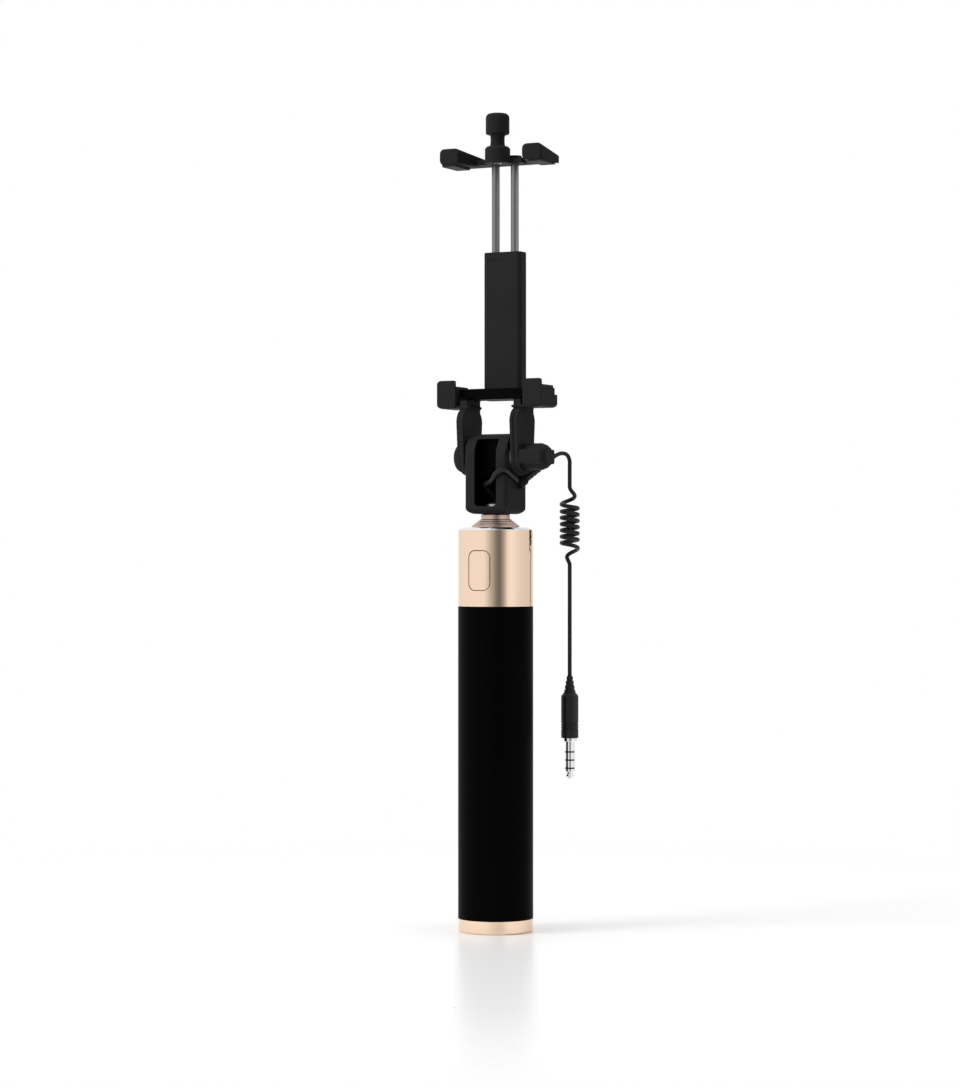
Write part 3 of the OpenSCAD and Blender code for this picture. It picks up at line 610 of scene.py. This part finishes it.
# ---------------------------------------------------------------------------------------
# Trim ring and tubes. A bright chamfered ring closes the collar; inside it the five
# tubes show their tops as steps, drawn steel under a polished rose-gold plate.
def tube_finish():
    finish = Finish("rose_plate", metallic=1.0)
    draw = finish.noise(500, 5, finish.stretch(8, 8, 0.25))
    finish.give("Base Color", finish.mix(draw, (0.54, 0.40, 0.33), (0.64, 0.485, 0.41)))
    finish.give("Roughness", 0.28 + 0.12 * draw)
    finish.bump(draw, 0.000006, 0.3)
    return finish


RING_GAP = 0.35 * MM
RING_CHAMFER = 0.85 * MM
RING_BREAK = 0.08 * MM


def ring_piece():
    low, high = lowest("trim_ring")[2], highest("trim_ring")[2]
    outer = highest("trim_ring")[0]
    inner = highest("tube_1")[0] + RING_GAP
    chamfer, edge = RING_CHAMFER, RING_BREAK
    profile = [(inner, low), (outer - edge, low)] + arc(outer - edge, low + edge, edge, -90, 0, 3)
    profile += [(outer, high - chamfer), (outer - chamfer + edge, high - edge)]
    profile += [(outer - chamfer - edge, high), (inner + edge, high), (inner, high - edge)]
    return lathe("polished_ring", profile, segments=192)


rose = tube_finish()
ring = ring_piece()
bright.wear(ring)
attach(ring, "handle")
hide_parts("trim_ring")
for number in range(1, 6):
    rose.wear(frame["nodes"][f"tube_{number}"])


# ---------------------------------------------------------------------------------------
# Hinge block, arms and jaws. Glass-filled nylon, moulded matte black, with a fine spark
# texture and every edge given a small radius by the tool.
def within(finish, low, high):
    """1 inside a box given in metres, and 0 outside it."""
    inside = 1.0
    for along, least, most in zip(finish.parts(finish.place), low, high):
        inside = along.math("GREATER_THAN", least) * along.math("LESS_THAN", most) * inside
    return inside


def moulded_finish(name="moulded_black", painted_shade_box=None):
    """Matte black nylon. Inside the given box the colour is painted near-black, as painted shade."""
    finish = Finish(name, specular_ior_level=0.03)
    spark = finish.noise(4200, 3)
    flow = finish.noise(70, 3)
    tone = finish.mix(flow, (0.019, 0.019, 0.0198), (0.027, 0.027, 0.028))
    if painted_shade_box:
        # Painted shade: inside the box the nylon is painted near-black where the recess lies in shadow.
        tone = finish.mix(within(finish, *painted_shade_box), tone, (0.0016, 0.0016, 0.0017))
    finish.give("Base Color", tone)
    finish.give("Roughness", 0.42 + 0.2 * spark)
    finish.bump(spark, 0.00002, 0.7)
    return finish


WINDOW_HALF = 4.45 * MM
BAR_INSET = 7.9 * MM
block_low, block_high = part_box("hinge_block")
jaw_low, jaw_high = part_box("lower_jaw")
column_foot = lowest("guide_column")[2]
# Painted shade: boxes painted near-black inside the block's window and on the jaw's crossbar.
window_shade_box = ((-WINDOW_HALF, block_low[1] + 0.45 * MM, block_low[2] + 2.4 * MM),
          (WINDOW_HALF, 6 * MM, block_high[2] - 2 * MM))
crossbar_shade_box = ((jaw_low[0] + BAR_INSET, jaw_low[1] + 1.5 * MM, column_foot - 0.3 * MM),
       (jaw_high[0] - BAR_INSET, jaw_high[1], jaw_high[2]))
moulded = moulded_finish()
# The hinge block and the lower jaw take the nylon with that painted shade.
painted_shade_finishes = {
    "hinge_block": moulded_finish("moulded_block_painted_shade", painted_shade_box=window_shade_box),
    "lower_jaw": moulded_finish("moulded_jaw_painted_shade", painted_shade_box=crossbar_shade_box),
}
moulded_pieces = (
    ("hinge_block", "moulded_hinge_block", "head"),
    ("lead_socket", "moulded_socket", "head"),
    ("lower_jaw", "moulded_lower_jaw", "clamp"),
    ("guide_column", "moulded_column", "clamp"),
    ("column_cap", "moulded_column_cap", "clamp"),
    ("thumb_nut", "moulded_thumb_nut", "thumb_screw"),
    ("upper_jaw", "moulded_upper_jaw", "sliding_jaw"),
)
for node, name, body in moulded_pieces:
    piece = softened(node, name)
    painted_shade_finishes.get(node, moulded).wear(piece)
    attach(piece, body)
    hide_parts(node)


# ---------------------------------------------------------------------------------------
# Pivot cap and pull knob. Turned shapes moulded in the same black nylon: a low dome that
# snaps over the bolt's head, and the knob that lifts the upper jaw.
DOME_RIM = 0.9 * MM
DOME_EDGE = 0.15 * MM
DOME_BULGE = 0.62
DOME_STEPS = 10
KNOB_NECK = 2.6 * MM
KNOB_SHOULDER = 4.4 * MM
KNOB_EDGE = 0.5 * MM
KNOB_CROWN = 1.7 * MM


def domed_cap():
    low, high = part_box("pivot_cap")
    radius = (high[2] - low[2]) / 2
    reach = high[0] - low[0]
    profile = [(0, 0), (radius - DOME_EDGE, 0), (radius, DOME_EDGE), (radius, DOME_RIM)]
    for k in range(1, DOME_STEPS):
        angle = math.pi / 2 * k / DOME_STEPS
        bulge = math.cos(angle) ** DOME_BULGE
        profile.append((radius * bulge, DOME_RIM + (reach - DOME_RIM) * math.sin(angle)))
    profile.append((0, reach))
    centre = (high[0], (low[1] + high[1]) / 2, (low[2] + high[2]) / 2)
    return lathe("domed_pivot_cap", profile, centre, (-1, 0, 0), 96)


def turned_knob():
    low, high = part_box("pull_knob")
    radius = (high[0] - low[0]) / 2
    base, top = low[2], high[2]
    neck, shoulder, crown = KNOB_NECK, base + KNOB_SHOULDER, KNOB_CROWN
    profile = [(0, base), (neck + 0.5 * MM, base), (neck + 0.1 * MM, base + 0.5 * MM)]
    profile += [(neck, base + 1.4 * MM), (neck, shoulder - 0.9 * MM)]
    profile += [(neck + 0.3 * MM, shoulder - 0.2 * MM)]
    profile += arc(radius - KNOB_EDGE, shoulder + 0.55 * MM, KNOB_EDGE, -70, 0, 4)
    profile += arc(radius - crown, top - crown, crown, 0, 90, 10)
    profile += [(0, top)]
    return lathe("turned_pull_knob", profile, (0, (low[1] + high[1]) / 2, 0), segments=96)


pivot_dome = domed_cap()
knob = turned_knob()
for piece, node, body in ((pivot_dome, "pivot_cap", "clamp"), (knob, "pull_knob", "sliding_jaw")):
    moulded.wear(piece)
    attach(piece, body)
    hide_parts(node)


# ---------------------------------------------------------------------------------------
# Finger pads. Soft grey-black rubber, dull and slightly dusty, bonded to both jaws where
# they meet the phone.
def rubber_finish():
    finish = Finish("pad_rubber", roughness=0.7, specular_ior_level=0.35)
    dust = finish.noise(520, 4)
    grain = finish.noise(6000, 2)
    finish.give("Base Color", finish.mix(dust, (0.022, 0.022, 0.023), (0.036, 0.036, 0.037)))
    finish.give("Roughness", 0.62 + 0.18 * dust)
    finish.bump(grain, 0.00002, 0.6)
    return finish


rubber = rubber_finish()
pad_pairs = (("lower_pads", "lower_pad_pair", "clamp"), ("upper_pads", "upper_pad_pair", "sliding_jaw"))
for node, name, body in pad_pairs:
    pad = softened(node, name, 0.12 * MM)
    rubber.wear(pad)
    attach(pad, body)
    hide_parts(node)


# ---------------------------------------------------------------------------------------
# Lead and strain relief. The thicker lead comes up out of the neck, over the block's
# right wall and along its groove into a ribbed sleeve, which sheds the thin curly cord.
LEAD_D = 1.8 * MM
LEAD_ROUTE = (
    (0, 0, -4.9), (0, 0, 0.1), (0, 0, 4.7), (-0.8, -1.4, 7.3), (-1.8, -3.6, 9.7), (-0.9, -5.6, 11),
    (1, -7, 11.3), (3.2, -8.6, 12.7), (4.8, -9.6, 14.4), (6.6, -9.8, 15.5), (8, -9.3, 15.8),
    (8.4, -7.8, 15.5), (8.4, -5.2, 14.5), (8.4, -2.6, 13.4), (8.6, -0.4, 12.5), (8.7, 0.8, 11.9),
)
RELIEF_START = from_block((9, 2.2, 11.5))
RELIEF_END = from_block(CORD_LEAD[0])
RELIEF_PLAIN = 4 * MM
RELIEF_WIDE = 1.45 * MM
RELIEF_TIP = 1.1 * MM
SLEEVE_RIBS = 7
SLEEVE_DEPTH = 0.22 * MM


def ribbed_sleeve():
    length = (RELIEF_END - RELIEF_START).length
    wide, tip = RELIEF_WIDE, RELIEF_TIP
    pitch = (length - RELIEF_PLAIN) / SLEEVE_RIBS
    profile = [(0, 0), (wide - 0.1 * MM, 0), (wide, 0.1 * MM), (wide, RELIEF_PLAIN)]
    for k in range(SLEEVE_RIBS):
        z = RELIEF_PLAIN + k * pitch
        rim = wide + (tip - wide) * (k + 0.5) / SLEEVE_RIBS
        profile += [(rim - SLEEVE_DEPTH, z + 0.1 * pitch), (rim - SLEEVE_DEPTH, z + 0.3 * pitch)]
        profile += [(rim, z + 0.42 * pitch), (rim, z + 0.9 * pitch)]
    profile += [(tip - 0.15 * MM, length - 0.01 * MM), (0, length)]
    return lathe("ribbed_relief", profile, RELIEF_START, RELIEF_END - RELIEF_START, 48)


lead = tube_along("thick_lead", smooth(LEAD_ROUTE, 8), LEAD_D)
relief = ribbed_sleeve()
for piece, node in ((lead, "lead_wire"), (relief, "strain_relief")):
    cord_black.wear(piece)
    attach(piece, "head")
    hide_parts(node)


# ---------------------------------------------------------------------------------------
# Inner works. The rods, washers, screws, springs, bushes and the switch keep their made
# shapes and take the finish of what they are cut or moulded from.
def steel_finish(name, dark, pale):
    finish = Finish(name, metallic=1.0, roughness=0.3)
    cut = finish.noise(1500, 4)
    finish.give("Base Color", finish.mix(cut, (dark, dark, dark), (pale, pale, pale)))
    finish.give("Roughness", 0.24 + 0.16 * cut)
    finish.bump(cut, 0.000005, 0.4)
    return finish


def brass_finish():
    finish = Finish("turned_brass", metallic=1.0, roughness=0.25)
    cut = finish.noise(1800, 4)
    finish.give("Base Color", finish.mix(cut, (0.62, 0.46, 0.20), (0.74, 0.57, 0.28)))
    finish.give("Roughness", 0.2 + 0.15 * cut)
    return finish


def nylon_finish():
    finish = Finish("natural_nylon", roughness=0.5)
    flow = finish.noise(300, 3)
    finish.give("Base Color", finish.mix(flow, (0.60, 0.58, 0.52), (0.70, 0.68, 0.62)))
    finish.give("Roughness", 0.42 + 0.16 * flow)
    return finish


def board_finish():
    finish = Finish("board_mask", roughness=0.3)
    weave = finish.noise(2600, 3)
    finish.give("Base Color", finish.mix(weave, (0.012, 0.09, 0.035), (0.02, 0.13, 0.055)))
    finish.give("Roughness", 0.25 + 0.12 * weave)
    return finish


finishes = {
    "steel": steel_finish("satin_steel", 0.48, 0.60), "brass": brass_finish(),
    "nylon": nylon_finish(), "board_green": board_finish(), "bright_chrome": bright,
    "head_plastic": moulded, "cord_plastic": cord_black, "rose_tube": rose,
    "gold_metal": gold, "grip_rubber": soft_black, "pad_rubber": rubber,
}
for part in frame["record"]["subparts"]:
    finishes[part["material_slot"]].wear(frame["nodes"][part["node"]])
steel_finish("ground_rod_steel", 0.20, 0.30).wear(frame["nodes"]["guide_rods"])
